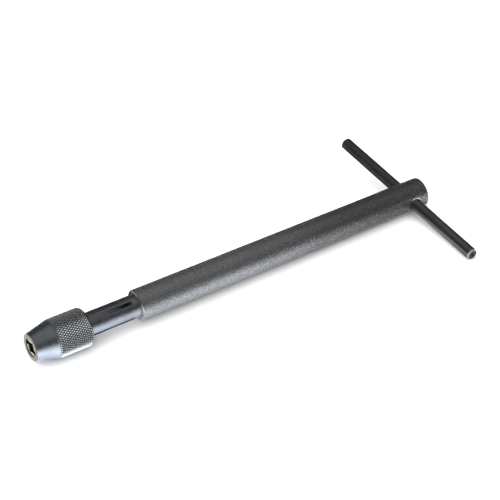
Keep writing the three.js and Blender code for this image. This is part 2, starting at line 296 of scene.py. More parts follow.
def threaded(name, start, end, crest, root, pitch, sides=96):
    """Rod with a right-hand thread; its ends overrun, and threads of one pitch share one phase."""
    flats = ((0.0625, root), (0.4375, crest), (0.5625, crest), (0.9375, root))
    k = len(flats)
    first = pitch * math.floor(start / pitch - 1)
    rows = k * (math.ceil((end - first) / pitch) + 2)
    corners = []
    for i in range(sides):
        angle = 2 * math.pi * i / sides
        for j in range(rows + 1):
            part, radius = flats[j % k]
            x = first + pitch * (i / sides + j // k + part)
            corners.append((x, -radius * math.sin(angle), radius * math.cos(angle)))

    def at(i, j):
        return i * (rows + 1) + j

    faces = []
    for j in range(rows):
        faces += [(at(i, j), at(i + 1, j), at(i + 1, j + 1), at(i, j + 1)) for i in range(sides - 1)]
        if j < rows - k:
            faces.append((at(sides - 1, j), at(0, j + k), at(0, j + k + 1), at(sides - 1, j + 1)))
    front = [at(i, 0) for i in range(sides)] + [at(0, j) for j in range(k, 0, -1)]
    back = [at(i, rows) for i in range(sides)] + [at(sides - 1, rows - j) for j in range(1, k + 1)]
    corners += [(first - pitch, 0, 0), (first + pitch * (rows / k + 2), 0, 0)]
    hub = len(corners) - 2
    faces += [(hub, b, a) for a, b in zip(front, front[1:] + front[:1])]
    faces += [(hub + 1, a, b) for a, b in zip(back, back[1:] + back[:1])]
    return solid(name, corners, faces)


def combined(piece, operation, tools):
    """Joins, cuts or trims a solid with others, which are used up."""
    for tool in tools:
        modifier = piece.modifiers.new(operation, "BOOLEAN")
        modifier.operation = operation
        modifier.solver = "MANIFOLD"
        modifier.object = tool
    bpy.context.view_layer.update()
    result = bpy.data.meshes.new_from_object(piece.evaluated_get(bpy.context.evaluated_depsgraph_get()))
    piece.modifiers.clear()
    piece.data = result
    for tool in tools:
        bpy.data.objects.remove(tool)
    return piece


def cut(piece, *tools):
    return combined(piece, "DIFFERENCE", tools)


def joined(piece, *tools):
    return combined(piece, "UNION", tools)


def softened(piece, width, where=None):
    """Breaks the sharp edges of a cut solid."""
    work = bmesh.new()
    work.from_mesh(piece.data)
    bmesh.ops.remove_doubles(work, verts=work.verts, dist=1e-4)
    flat = math.radians(0.3)
    bmesh.ops.dissolve_limit(work, angle_limit=flat, verts=work.verts, edges=work.edges)
    sharp = [
        edge
        for edge in work.edges
        if len(edge.link_faces) == 2
        and edge.calc_face_angle() > math.radians(40)
        and (where is None or where((edge.verts[0].co + edge.verts[1].co) / 2))
    ]
    bmesh.ops.bevel(
        work,
        geom=sharp,
        offset=width,
        segments=2,
        profile=0.5,
        affect="EDGES",
        clamp_overlap=False,
    )
    work.to_mesh(piece.data)
    work.free()
    return piece


def coil(name, radius, wire, length, turns, steps=32, sides=12):
    """Spring along Z from zero, with a steady pitch and closed ends."""
    count = turns * steps
    corners = []
    for i in range(count + 1):
        t = i / count
        eased = t - 0.7 * math.sin(2 * math.pi * t) / (2 * math.pi)
        centre = Vector((0, 0, wire + (length - 2 * wire) * eased))
        out = Vector((math.cos(2 * math.pi * turns * t), math.sin(2 * math.pi * turns * t), 0))
        for j in range(sides):
            around = 2 * math.pi * j / sides
            reach = radius + wire * math.cos(around)
            corners.append(tuple(centre + out * reach + Vector((0, 0, wire * math.sin(around)))))
    faces = [
        (i * sides + j, i * sides + k, (i + 1) * sides + k, (i + 1) * sides + j)
        for i in range(count)
        for j, k in zip(range(sides), [*range(1, sides), 0])
    ]
    start = tuple(range(sides))
    end = tuple(range(count * sides, (count + 1) * sides))
    return solid(name, corners, [start[::-1], end, *faces])


# ---- pieces ----


def knurl_height(x, angle):
    """Height of the diamonds, from 0 in the grooves to 1, and which of the two grooves is the nearer."""
    across = KNURL_STARTS * angle / (2 * np.pi)
    rise = 1 - 2 * np.abs((across + x / KNURL_STEP) % 1 - 0.5)
    fall = 1 - 2 * np.abs((across - x / KNURL_STEP) % 1 - 0.5)
    return np.minimum(rise, fall), rise < fall


def knurled(x, r, angle):
    """The blank's radius, cut down to the knurl's diamonds with slightly flattened tips."""
    height = np.minimum(KNURL_FLATTENING * knurl_height(x, angle)[0], 1)
    diamonds = NUT_RADIUS - KNURL_DEPTH * (1 - height)
    bottom = NUT_RADIUS - KNURL_DEPTH
    return np.where(r > bottom, np.minimum(r, diamonds), r)


def chuck_nut():
    cone = (NUT_RADIUS - NUT_NOSE_RADIUS) / (NUT_CONE_LENGTH - EDGE)
    groove_start = NUT_CONE_LENGTH - KNURL_DEPTH / cone
    ring = KNURL_STEP / KNURL_SAMPLES
    first = ring * math.floor(groove_start / ring)
    rear_start = NUT_LENGTH - NUT_REAR_ROUND
    stations = np.arange(first, rear_start, ring)
    band = [(x, min(NUT_RADIUS, NUT_NOSE_RADIUS + cone * (x - EDGE))) for x in stations.tolist()]
    rear = []
    for degrees in range(0, 91, 5):
        angle = math.radians(degrees)
        rear.append((
            rear_start + NUT_REAR_ROUND * math.sin(angle),
            NUT_RADIUS - NUT_REAR_ROUND * (1 - math.cos(angle)),
        ))
    profile = [
        (0, 0),
        (0, NUT_HOLE_RADIUS),
        (0, NUT_NOSE_RADIUS - 2 * EDGE),
        (EDGE / 2, NUT_NOSE_RADIUS - EDGE / 2),
        (2 * EDGE, NUT_NOSE_RADIUS + cone * EDGE),
        *band,
        *rear,
        (NUT_LENGTH, 0),
    ]
    sides = KNURL_STARTS * KNURL_SAMPLES
    nut = turned("knurled_chuck_nut", profile, sides, 0, knurled, lambda x, a: knurl_height(x, a)[1])
    bore = turned("bore", [
        (-1, 0),
        (-1, NUT_HOLE_RADIUS + NUT_MOUTH_BEVEL + 1),
        (NUT_MOUTH_BEVEL, NUT_HOLE_RADIUS),
        (NUT_SHOULDER, NUT_HOLE_RADIUS),
        (NUT_SHOULDER, NUT_RELIEF_RADIUS),
        (NUT_THREAD[0], NUT_RELIEF_RADIUS),
        (NUT_THREAD[0] + 0.8, THREAD_ROOT),
        (NUT_THREAD[1] - 0.8, THREAD_ROOT),
        (NUT_THREAD[1], NUT_REAR_BORE),
        (NUT_LENGTH - 0.4, NUT_REAR_BORE),
        (NUT_LENGTH + 1, NUT_REAR_BORE + 1.4),
        (NUT_LENGTH + 1, 0),
    ])
    thread = threaded(
        "thread",
        *NUT_THREAD,
        THREAD_CREST + THREAD_CLEARANCE,
        THREAD_ROOT + THREAD_CLEARANCE - 0.05,
        THREAD_PITCH,
    )
    trim = rod("trim", NUT_THREAD[0] + 0.2, NUT_THREAD[1] - 0.2, NUT_THREAD_TRIM)
    return cut(nut, bore, combined(thread, "INTERSECT", [trim]))


def slot_cutter():
    """Tool for one slot right across the neck, with rounded corners at its closed end."""
    half = SLOT_WIDTH / 2
    centre = SLOT_END - SLOT_CORNER
    corner = [math.radians(15 * i) for i in range(7)]
    lower = [
        (centre + SLOT_CORNER * math.sin(a), -half + SLOT_CORNER * (1 - math.cos(a)))
        for a in corner
    ]
    upper = [(x, -y) for x, y in reversed(lower)]
    outline = [(SPINDLE_FRONT - 1, -half), *lower, *upper, (SPINDLE_FRONT - 1, half)]
    return prism("slot", outline, -NECK_RADIUS - 1, NECK_RADIUS + 1)


def radial_pin(name, node, foot, top, radius, dome=0.0):
    """Pin on the underside, at a CAD dowel's station; foot and top are its ends' radii."""
    station = along(node)[0] + DOWEL_RADIUS
    profile = rounded([(foot, 0), (foot, radius, dome), (top, radius, dome), (top, 0)])
    return moved(upright(turned(name, profile, PIN_SIDES), station), turn(DOWEL_TURN))


def dowel(node):
    return radial_pin(node + "_dowel", node, DOWEL_FEET[node], DOWEL_TOP, DOWEL_RADIUS, DOWEL_DOME)


def dowel_hole(node, foot):
    """Tool for the hole that a dowel sits in."""
    return radial_pin("hole", node, foot, DOWEL_TOP + 1, DOWEL_HOLE)


def spindle():
    half_side = math.pi / SIDES
    body = turned("slotted_spindle", rounded([
        (SPINDLE_FRONT, 0),
        (SPINDLE_FRONT, THREAD_ROOT + 0.08, 0.4),
        (SPINDLE_THREAD[1] - 0.4, THREAD_ROOT + 0.08),
        (SPINDLE_THREAD[1] + 0.4, NECK_RADIUS, 0.1),
        (TUBE_FRONT - COLLAR_WIDTH, NECK_RADIUS),
        (TUBE_FRONT - COLLAR_WIDTH, COLLAR_RADIUS, COLLAR_EDGE),
        (TUBE_FRONT, COLLAR_RADIUS, COLLAR_EDGE),
        (TUBE_FRONT, SHANK_RADIUS),
        (SHANK_END - 0.8, SHANK_RADIUS, 0.2),
        (SHANK_END, SHANK_RADIUS - 0.8, 0.2),
        (SHANK_END, 0),
    ]), SIDES, JAW_TURN + half_side)
    thread = threaded("thread", *SPINDLE_THREAD, THREAD_CREST, THREAD_ROOT, THREAD_PITCH)
    trim = turned("trim", [
        (SPINDLE_THREAD[0] - 0.4, 0),
        (SPINDLE_THREAD[0] - 0.4, THREAD_ROOT - 0.1),
        (SPINDLE_THREAD[0] + 0.6, THREAD_CREST + 0.1),
        (SPINDLE_THREAD[1], THREAD_CREST + 0.1),
        (SPINDLE_THREAD[1], 0),
    ])
    bore = turned("bore", [
        (SPINDLE_FRONT - 1, 0),
        (SPINDLE_FRONT - 1, MOUTH_RADIUS + SEAT_SLOPE),
        (SEAT_END, SPINDLE_BORE),
        (SPINDLE_BORE_END, SPINDLE_BORE),
        (SPINDLE_BORE_END + 2, 0),
    ])
    whole = cut(
        joined(body, combined(thread, "INTERSECT", [trim])),
        bore,
        moved(slot_cutter(), turn(JAW_TURN)),
        moved(slot_cutter(), turn(JAW_TURN + math.pi / 2)),
        dowel_hole("spindle_pin", DOWEL_HOLE_FEET["spindle_pin"]),
    )

    def at_slot_mouth(point):
        beside_slot = SPINDLE_THREAD[1] + 1 < point.x < SLOT_END + 1
        return beside_slot and math.hypot(point.y, point.z) > NECK_RADIUS - 0.1

    return softened(whole, SLOT_EDGE, at_slot_mouth)


def jaw(name):
    """Jaw above the axis, before it is turned to its place."""
    head_radius = MOUTH_RADIUS - SEAT_CLEARANCE
    cone_start = SPINDLE_FRONT - TRAVEL_IN / SEAT_SLOPE
    cone_end = SEAT_END + TRAVEL_OUT / SEAT_SLOPE
    head = turned(name, [
        (JAW_HEAD_FRONT, 0),
        (JAW_HEAD_FRONT, head_radius),
        (cone_start, head_radius),
        (cone_end, head_radius - SEAT_SLOPE * (cone_end - cone_start)),
        (cone_end, 0),
    ])
    nose = turned("nose", rounded([
        (JAW_FRONT, 0),
        (JAW_FRONT, JAW_NOSE_RADIUS, 0.25),
        (JAW_HEAD_FRONT + 1, JAW_NOSE_RADIUS),
        (JAW_HEAD_FRONT + 1, 0),
    ]))
    tail = turned("tail", rounded([
        (JAW_HEAD_FRONT + 0.5, 0),
        (JAW_HEAD_FRONT + 0.5, JAW_TAIL_RADIUS),
        (JAW_END - 0.5, JAW_TAIL_RADIUS, 0.15),
        (JAW_END, JAW_TAIL_RADIUS - 0.5, 0.15),
        (JAW_END, 0),
    ]))
    half = KEY_WIDTH / 2
    low_key = block((cone_start, -half, KEY_BOTTOM), (KEY_HIGH_START + 0.1, half, KEY_LOW_TOP))
    high_key = block((KEY_HIGH_START, -half, KEY_BOTTOM), (JAW_END, half, KEY_HIGH_TOP))
    whole = joined(
        moved(head, shift(z=TRAVEL_IN)),
        moved(nose, shift(z=-TRAVEL_OUT)),
        moved(tail, shift(z=-TRAVEL_OUT)),
        low_key,
        high_key,
    )
    side = SOCKET / 2
    wide = 20
    partner = block((JAW_FRONT - 1, -wide / 2, -wide), (JAW_END + 1, wide / 2, JAW_TAIL_GAP))
    square = block((JAW_FRONT - 1, -side, -wide), (JAW_NOTCH_END, wide, side))
    slit = block((JAW_FRONT - 1, -wide, -wide), (JAW_NOTCH_END, wide, SLIT - side))
    corner = turn(-math.pi / 4)
    pockets = [
        upright(rod("pocket", -1, SPRING_POCKET_TOP, SPRING_POCKET, PIN_SIDES), jaw_spring_station(place))
        for place in ("front", "rear")
    ]
    whole = cut(whole, partner, moved(square, corner), moved(slit, corner), *pockets)
    return softened(whole, JAW_EDGE)


def grain(x, r, angle):
    """Lowers the tube's outside by an uneven, pitted grain; the ends stay plain."""
    lowered = r.copy()
    outside = r > TUBE_RADIUS - 1e-6
    for i, j in zip(*np.nonzero(outside)):
        place = Vector((x[i, j], r[i, j] * math.sin(angle[i, j]), r[i, j] * math.cos(angle[i, j])))
        rough = noise.fractal(place * TUBE_GRAIN_FINENESS, 0.7, 2.1, 3)
        lowered[i, j] -= TUBE_GRAIN * min(max(0.45 + 0.55 * rough, 0), 1)
    return lowered


def handle_hole(radius):
    end = TUBE_RADIUS + 2
    return across(rod("hole", -end, end, radius, HOLE_SIDES))


def countersunk_handle_hole():
    end = TUBE_RADIUS + 2
    straight = TUBE_RADIUS - TUBE_COUNTERSINK
    mouth = TUBE_HOLE + end - straight
    half = [(end, 0), (end, mouth), (straight, TUBE_HOLE)]
    profile = [*[(-x, r) for x, r in half], *reversed(half)]
    return across(turned("hole", profile, HOLE_SIDES))


def across(piece):
    """Lays a piece made along the tool axis across it at the handle's station."""
    return moved(piece, turn(math.pi / 2, "Z"), shift(HANDLE_STATION))


def body_tube():
    front = TUBE_FRONT + TUBE_FRONT_ROUND
    rear = TUBE_REAR - TUBE_REAR_CHAMFER
    rounding = []
    for degrees in range(0, 90, 10):
        angle = math.radians(degrees)
        rounding.append((
            front - TUBE_FRONT_ROUND * math.cos(angle),
            TUBE_RADIUS - TUBE_FRONT_ROUND * (1 - math.sin(angle)),
        ))
    stations = np.linspace(front, rear, round((rear - front) / TUBE_GRAIN_STEP)).tolist()
    profile = [
        (TUBE_FRONT, 0),
        *rounding,
        *[(x, TUBE_RADIUS) for x in stations],
        (rear + 0.15, TUBE_RADIUS - 0.05),
        (TUBE_REAR - 0.08, TUBE_RADIUS - 0.36),
        (TUBE_REAR, TUBE_RADIUS - TUBE_REAR_CHAMFER),
        (TUBE_REAR, 0),
    ]
    tube = turned("blackened_tube", profile, TUBE_SIDES, 0, grain)
    bore = turned("bore", [
        (TUBE_FRONT - 1, 0),
        (TUBE_FRONT - 1, TUBE_BORE),
        (TUBE_REAR - 0.3, TUBE_BORE),
        (TUBE_REAR + 1, TUBE_BORE + 1.3),
        (TUBE_REAR + 1, 0),
    ])
    pins = [dowel_hole(node, TUBE_DOWEL_HOLE_FOOT) for node in DOWEL_FEET]
    return cut(tube, bore, countersunk_handle_hole(), *pins)


def tail_bush():
    body = turned("tail_bush_body", rounded([
        (BUSH_FRONT, 0),
        (BUSH_FRONT, BUSH_RADIUS - 0.8, 0.2),
        (BUSH_FRONT + 0.8, BUSH_RADIUS, 0.2),
        (BUSH_END - 0.4, BUSH_RADIUS, 0.1),
        (BUSH_END, BUSH_RADIUS - 0.4, 0.1),
        (BUSH_END, 0),
    ]))
    crest = PLUG_CREST + PLUG_CLEARANCE
    root = PLUG_ROOT + PLUG_CLEARANCE
    thread = threaded("thread", PLUG_THREAD_START, BUSH_END + 1, crest, root - 0.05, PLUG_PITCH)
    mouth = turned("mouth", [
        (HANDLE_STATION, 0),
        (HANDLE_STATION, root),
        (BUSH_END - 0.5, root),
        (BUSH_END + 0.5, root + 1),
        (BUSH_END + 0.5, 0),
    ])
    trim = rod("trim", PLUG_THREAD_START, BUSH_END + 0.5, PLUG_THREAD_TRIM)
    return cut(
        body,
        handle_hole(HANDLE_HOLE),
        rod("bore", PLUNGER_BORE_FRONT, HANDLE_STATION, PLUNGER_BORE, HOLE_SIDES),
        mouth,
        combined(thread, "INTERSECT", [trim]),
        dowel_hole("bush_pin", DOWEL_HOLE_FEET["bush_pin"]),
    )


def rear_plug():
    thread = threaded("socket_end_plug", PLUG_FRONT, PLUG_REAR, PLUG_CREST, PLUG_ROOT, PLUG_PITCH)
    trim = turned("trim", [
        (PLUG_FRONT, 0),
        (PLUG_FRONT, PLUG_ROOT),
        (PLUG_FRONT + 0.6, PLUG_CREST + 0.05),
        (PLUG_REAR - 0.6, PLUG_CREST + 0.05),
        (PLUG_REAR, PLUG_ROOT),
        (PLUG_REAR, 0),
    ])
    socket = turned("socket", [
        (PLUG_REAR - PLUG_SOCKET_DEPTH - 0.6, 0),
        (PLUG_REAR - PLUG_SOCKET_DEPTH, PLUG_SOCKET),
        (PLUG_REAR + 1, PLUG_SOCKET),
        (PLUG_REAR + 1, 0),
    ], 6)
    chamfer = turned("chamfer", [
        (PLUG_REAR - 1, 0),
        (PLUG_REAR - 0.4, PLUG_SOCKET - 0.15),
        (PLUG_REAR + 0.4, PLUG_SOCKET + 0.65),
        (PLUG_REAR + 0.4, 0),
    ])
    return cut(combined(thread, "INTERSECT", [trim]), socket, chamfer)


def friction_plunger():
    return turned("friction_plunger_body", rounded([
        (PLUNGER_FRONT, 0),
        (PLUNGER_FRONT, PLUNGER_RADIUS, 0.2),
        (PLUNGER_TIP - 1.6, PLUNGER_RADIUS, 0.6),
        (PLUNGER_TIP, PLUNGER_NOSE, 0.5),
        (PLUNGER_TIP, 0),
    ], 6), HOLE_SIDES)


def tee_handle():
    half = HANDLE_LENGTH / 2
    tip = HANDLE_RADIUS - HANDLE_CHAMFER
    end = [
        (half - HANDLE_CENTRE_DEPTH, 0),
        (half - 0.05, HANDLE_CENTRE, 0.1),
        (half - 0.05, 2.2),
        (half - 0.12, 2.3),
        (half, 2.42),
        (half, tip, 0.12),
        (half - HANDLE_CHAMFER, HANDLE_RADIUS, 0.15),
    ]
    front = [(-point[0], *point[1:]) for point in end]
    return across(turned("sliding_tee_bar", rounded([*front, *reversed(end)]), HANDLE_SIDES))


def jaw_spring_station(place):
    return sum(along("jaw_spring_" + place)) / 2


def jaw_spring(place):
    spring = coil("jaw_coil_spring_" + place, **JAW_SPRING)
    height = -JAW_SPRING["length"] / 2
    return moved(spring, shift(z=height), shift(jaw_spring_station(place)), turn(JAW_TURN))


def friction_spring():
    spring = coil("friction_coil_spring", **FRICTION_SPRING)
    return moved(spring, turn(math.pi / 2, "Y"), shift(PLUNGER_BORE_FRONT + 0.15))


# ---- finishes ----


class Finish:
    """A node material; its places are in millimetres from the nose face on the tool axis."""

    def __init__(self, name):
        self.material = bpy.data.materials.new(name)
        self.material.use_nodes = True
        self.nodes = self.material.node_tree.nodes
        self.links = self.material.node_tree.links
        self.shader = self.nodes["Principled BSDF"]
        self.normal = None
        in_row = self.add("ShaderNodeTexCoord").outputs["Object"]
        from_nose = self.vector("SUBTRACT", in_row, (NOSE, 0, AXIS))
        self.place = self.vector("SCALE", from_nose, None, 1 / MM)

    def add(self, kind, inputs=None, **settings):
        node = self.nodes.new(kind)
        for key, value in settings.items():
            setattr(node, key, value)
        for key, value in (inputs or {}).items():
            self.feed(node.inputs[key], value)
        return node

    def feed(self, socket, value):
        if isinstance(value, bpy.types.NodeSocket):
            self.links.new(value, socket)
        else:
            socket.default_value = value

    def set(self, name, value):
        self.feed(self.shader.inputs[name], value)

    def vector(self, operation, a, b=None, scale=None):
        inputs = {0: a}
        if b is not None:
            inputs[1] = b
        if scale is not None:
            inputs["Scale"] = scale
        return self.add("ShaderNodeVectorMath", inputs, operation=operation).outputs[0]

    def maths(self, operation, a, b=0.0):
        return self.add("ShaderNodeMath", {0: a, 1: b}, operation=operation).outputs[0]

    def part(self, name):
        """One coordinate of the place."""
        return self.add("ShaderNodeSeparateXYZ", {0: self.place}).outputs[name]

    def distance(self, centre=(0, 0, 0), keep=(0, 1, 1)):
        """Distance from an axis through centre; keep drops the axis direction."""
        offset = self.vector("SUBTRACT", self.place, centre)
        flat = self.vector("MULTIPLY", offset, keep)
        return self.add("ShaderNodeVectorMath", {0: flat}, operation="LENGTH").outputs["Value"]

    def noise(self, stretch, detail=2.0, roughness=0.5, place=None):
        """Noise from 0 to 1; stretch holds the waves per millimetre along x, y and z."""
        scaled = self.vector("MULTIPLY", place or self.place, stretch)
        inputs = {"Vector": scaled, "Scale": 1.0, "Detail": detail, "Roughness": roughness}
        return self.add("ShaderNodeTexNoise", inputs).outputs[0]

    def fit(self, value, low, high, to_low=0.0, to_high=1.0):
        inputs = {0: value, 1: low, 2: high, 3: to_low, 4: to_high}
        return self.add("ShaderNodeMapRange", inputs, interpolation_type="SMOOTHSTEP").outputs[0]

    def mix(self, factor, a, b):
        first, second = ((*colour, 1) if isinstance(colour, tuple) else colour for colour in (a, b))
        return self.add("ShaderNodeMix", {0: factor, 6: first, 7: second}, data_type="RGBA").outputs[2]

    def bump(self, height, depth):
        """Adds relief of the given depth in millimetres."""
        inputs = {"Height": height, "Distance": depth * MM, "Strength": 1.0}
        if self.normal:
            inputs["Normal"] = self.normal
        self.normal = self.add("ShaderNodeBump", inputs).outputs[0]
        self.set("Normal", self.normal)

    def turning_marks(self, depth, waves=5.0):
        """Fine rings about the tool axis, on cylinders and on end faces alike."""
        rings = self.add("ShaderNodeCombineXYZ", {0: self.part("X"), 1: self.distance(), 2: 0.0})
        self.bump(self.noise((waves, waves, 0.0), 3.0, 0.6, rings.outputs[0]), depth)


def blackened_tube():
    """Rough blackened steel, pitted; painted reflection and shade make it lighter and bluish at the front
    and darker and browner towards the handle.
    """
    finish = Finish("blackened_tube")
    speckle = finish.noise((0.62, 0.62, 0.62), 4, 0.62)
    cloud = finish.noise((0.05, 0.09, 0.09), 3, 0.5)
    # Painted shade and reflection: the colour darkens and browns towards the handle; the cloud only
    # shifts where that starts.
    painted_rear_shade = finish.fit(finish.part("X"), 120, 290)
    drift = finish.maths("MULTIPLY", finish.maths("SUBTRACT", cloud, 0.5), 0.5)
    painted_rear_shade = finish.maths("ADD", painted_rear_shade, drift)
    ground = finish.mix(finish.fit(painted_rear_shade, 0, 1), (0.42, 0.42, 0.43), (0.25, 0.25, 0.247))
    dark = finish.mix(finish.fit(painted_rear_shade, 0, 1), (0.33, 0.33, 0.338), (0.168, 0.169, 0.168))
    colour = finish.mix(finish.fit(speckle, 0.38, 0.62), dark, ground)
    from_bar = finish.distance((HANDLE_STATION, 0, 0), (1, 0, 1))
    countersink = finish.fit(from_bar, TUBE_HOLE + 0.75, TUBE_HOLE + 0.6)
    finish.set("Base Color", finish.mix(countersink, colour, (0.66, 0.65, 0.63)))
    finish.set("Metallic", 0.94)
    shoulder = finish.fit(finish.part("X"), TUBE_FRONT + 1.2, TUBE_FRONT + 1.8)
    rough = finish.fit(speckle, 0.35, 0.65, 0.42, 0.2)
    finish.set("Roughness", finish.maths("MULTIPLY", rough, finish.fit(shoulder, 0, 1, 0.6, 1)))
    finish.bump(finish.maths("MULTIPLY", speckle, shoulder), 0.36)
    finish.bump(finish.noise((2.4, 2.4, 2.4), 3, 0.6), 0.02)
    return finish.material


def satin_neck():
    finish = Finish("satin_neck")
    cloud = finish.noise((0.12, 0.2, 0.2), 4, 0.6)
    outside = finish.mix(finish.fit(cloud, 0.3, 0.7), (0.34, 0.355, 0.4), (0.45, 0.465, 0.51))
    # Painted shade: the bore and the slot walls, below the neck's surface, are coloured dark; the tail
    # bush keeps the outside colour.
    depth = finish.fit(finish.distance(), NECK_RADIUS - 0.6, NECK_RADIUS - 0.15)
    at_bush = finish.fit(finish.part("X"), BUSH_FRONT - 1, BUSH_FRONT)
    clear_of_bore_shade = finish.maths("MAXIMUM", depth, at_bush)
    finish.set("Base Color", finish.mix(clear_of_bore_shade, (0.2, 0.2, 0.21), outside))
    finish.set("Metallic", 1.0)
    fine = finish.noise((2.2, 2.2, 2.2), 3, 0.6)
    finish.set("Roughness", finish.fit(fine, 0.3, 0.7, 0.26, 0.36))
    finish.turning_marks(0.012)
    finish.bump(fine, 0.006)
    return finish.material


def blued_nut():
    """Polished blued cone, and a knurl whose tips are worn bright over grooves painted dark as shade."""
    finish = Finish("blued_nut")
    radius = finish.distance()
    behind = finish.fit(finish.part("X"), NUT_CONE_LENGTH - 1.8, NUT_CONE_LENGTH - 1.6)
    height = finish.fit(radius, NUT_RADIUS - KNURL_DEPTH, NUT_RADIUS - 0.12)
    cloud = finish.noise((0.1, 0.16, 0.16), 4, 0.6)
    smooth = finish.mix(finish.fit(cloud, 0.3, 0.7), (0.43, 0.46, 0.5), (0.52, 0.55, 0.6))
    # Painted shade: the knurl's grooves are near black; the bright tips are wear.
    knurl = finish.mix(height, (0.035, 0.035, 0.037), (1, 1, 1))
    colour = finish.mix(behind, smooth, knurl)
    stain = finish.noise((0.9, 0.9, 0.9), 3, 0.6)
    bare = finish.mix(finish.fit(stain, 0.35, 0.65), (0.19, 0.182, 0.17), (0.11, 0.103, 0.093))
    # Painted shade: the mouth's bevel is coloured darker than the bare face, for the shaded gap round the
    # jaws.
    mouth = finish.fit(radius, NUT_HOLE_RADIUS + NUT_MOUTH_BEVEL, NUT_HOLE_RADIUS + NUT_MOUTH_BEVEL - 0.1)
    bare = finish.mix(mouth, bare, (0.12, 0.115, 0.105))
    blued = finish.maths("MAXIMUM", mouth, finish.fit(finish.part("X"), 0.2, 0.06))
    finish.set("Base Color", finish.mix(blued, colour, bare))
    finish.set("Metallic", finish.fit(behind, 0, 1, 1, 0.975))
    fine = finish.noise((2.5, 2.5, 2.5), 3, 0.6)
    finish.set("Roughness", finish.fit(fine, 0.3, 0.7, 0.22, 0.32))
    finish.turning_marks(0.01)
    return finish.material


def jaw_steel():
    finish = Finish("jaw_steel")
    stain = finish.noise((0.9, 0.9, 0.9), 4, 0.6)
    bare = finish.mix(finish.fit(stain, 0.35, 0.65), (0.52, 0.48, 0.42), (0.29, 0.245, 0.2))
    # Painted shade: behind the nose face, where the jaw lies inside the spindle, the steel is coloured
    # dark, varied by stains; the key's top, open in the slots, is coloured lighter as if lit.
    painted_inner_shade = finish.mix(finish.fit(stain, 0.35, 0.65), (0.16, 0.165, 0.135), (0.08, 0.085, 0.065))
    key = finish.fit(finish.distance(), KEY_LOW_TOP - 0.5, KEY_LOW_TOP)
    painted_inner_shade = finish.mix(key, painted_inner_shade, (0.4, 0.41, 0.43))
    finish.set("Base Color", finish.mix(finish.fit(finish.part("X"), 0.9, 0.65), painted_inner_shade, bare))
    finish.set("Metallic", 1.0)
    fine = finish.noise((2.5, 2.5, 2.5), 3, 0.6)
    finish.set("Roughness", finish.fit(fine, 0.3, 0.7, 0.3, 0.45))
    finish.bump(finish.noise((0.6, 4, 4), 3, 0.6), 0.012)
    return finish.material


def black_oxide_bar():
    """Black oxide with faint lengthwise gloss streaks and bare chamfers."""
    finish = Finish("black_oxide_bar")
    streak = finish.noise((1.6, 0.03, 1.6), 3, 0.6)
    speckle = finish.noise((1.4, 1.4, 1.4), 4, 0.6)
    colour = finish.mix(finish.fit(streak, 0.35, 0.7), (0.22, 0.23, 0.22), (0.38, 0.38, 0.37))
    reach = finish.maths("ABSOLUTE", finish.part("Y"))
    end = HANDLE_LENGTH / 2
    bare = finish.fit(reach, end - HANDLE_CHAMFER - 0.05, end - HANDLE_CHAMFER + 0.1)
    from_middle = finish.distance((HANDLE_STATION, 0, 0), (1, 0, 1))
    tip = HANDLE_RADIUS - HANDLE_CHAMFER
    rim = finish.fit(from_middle, tip, tip + 0.15)
    # Painted shade: the centre hole is coloured darker than the end face.
    centre = finish.fit(from_middle, HANDLE_CENTRE + 0.15, HANDLE_CENTRE - 0.15)
    face = finish.mix(centre, (0.25, 0.25, 0.25), (0.12, 0.12, 0.12))
    ends = finish.mix(rim, face, (0.85, 0.84, 0.82))
    finish.set("Base Color", finish.mix(bare, colour, ends))
    finish.set("Metallic", finish.fit(finish.maths("MULTIPLY", bare, rim), 0, 1, 1, 0.86))
    finish.set("Roughness", finish.fit(speckle, 0.3, 0.7, 0.3, 0.42))
    finish.bump(speckle, 0.012)
    finish.bump(streak, 0.02)
    lines = finish.add("ShaderNodeCombineXYZ", {0: from_middle, 1: 0.0, 2: 0.0}).outputs[0]
    finish.bump(finish.maths("MULTIPLY", bare, finish.noise((4, 0, 0), 2, 0.5, lines)), 0.02)
    return finish.material


def bright_pins():
    finish = Finish("bright_pins")
    cloud = finish.noise((0.7, 0.7, 0.7), 4, 0.6)
    finish.set("Base Color", finish.mix(cloud, (0.48, 0.47, 0.45), (0.64, 0.63, 0.61)))
    finish.set("Metallic", 1.0)
    finish.set("Roughness", finish.fit(cloud, 0.3, 0.7, 0.26, 0.4))
    finish.bump(finish.noise((3, 3, 3), 3, 0.6), 0.01)
    return finish.material


def spring_steel():
    finish = Finish("spring_steel")
    cloud = finish.noise((1.2, 1.2, 1.2), 4, 0.6)
    finish.set("Base Color", finish.mix(cloud, (0.4, 0.41, 0.43), (0.58, 0.59, 0.61)))
    finish.set("Metallic", 1.0)
    finish.set("Roughness", finish.fit(cloud, 0.3, 0.7, 0.24, 0.36))
    finish.bump(finish.noise((4, 4, 4), 3, 0.6), 0.006)
    return finish.material


# ---- assembly ----


def install(piece, node, body, material):
    """Sets a piece into the row frame in place of its CAD node."""
    piece.data.transform(shift(NOSE, 0, AXIS) @ Matrix.Scale(MM, 4))
    piece.data.materials.clear()
    piece.data.materials.append(material)
    piece.data.shade_smooth()
    piece.data.set_sharp_from_angle(angle=math.radians(32))
    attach(piece, body)
    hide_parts(node)


materials = {
    "blackened_tube": blackened_tube(),
    "satin_neck": satin_neck(),
    "blued_nut": blued_nut(),
    "jaw_steel": jaw_steel(),
    "black_oxide_bar": black_oxide_bar(),
    "bright_pins": bright_pins(),
    "spring_steel": spring_steel(),
}

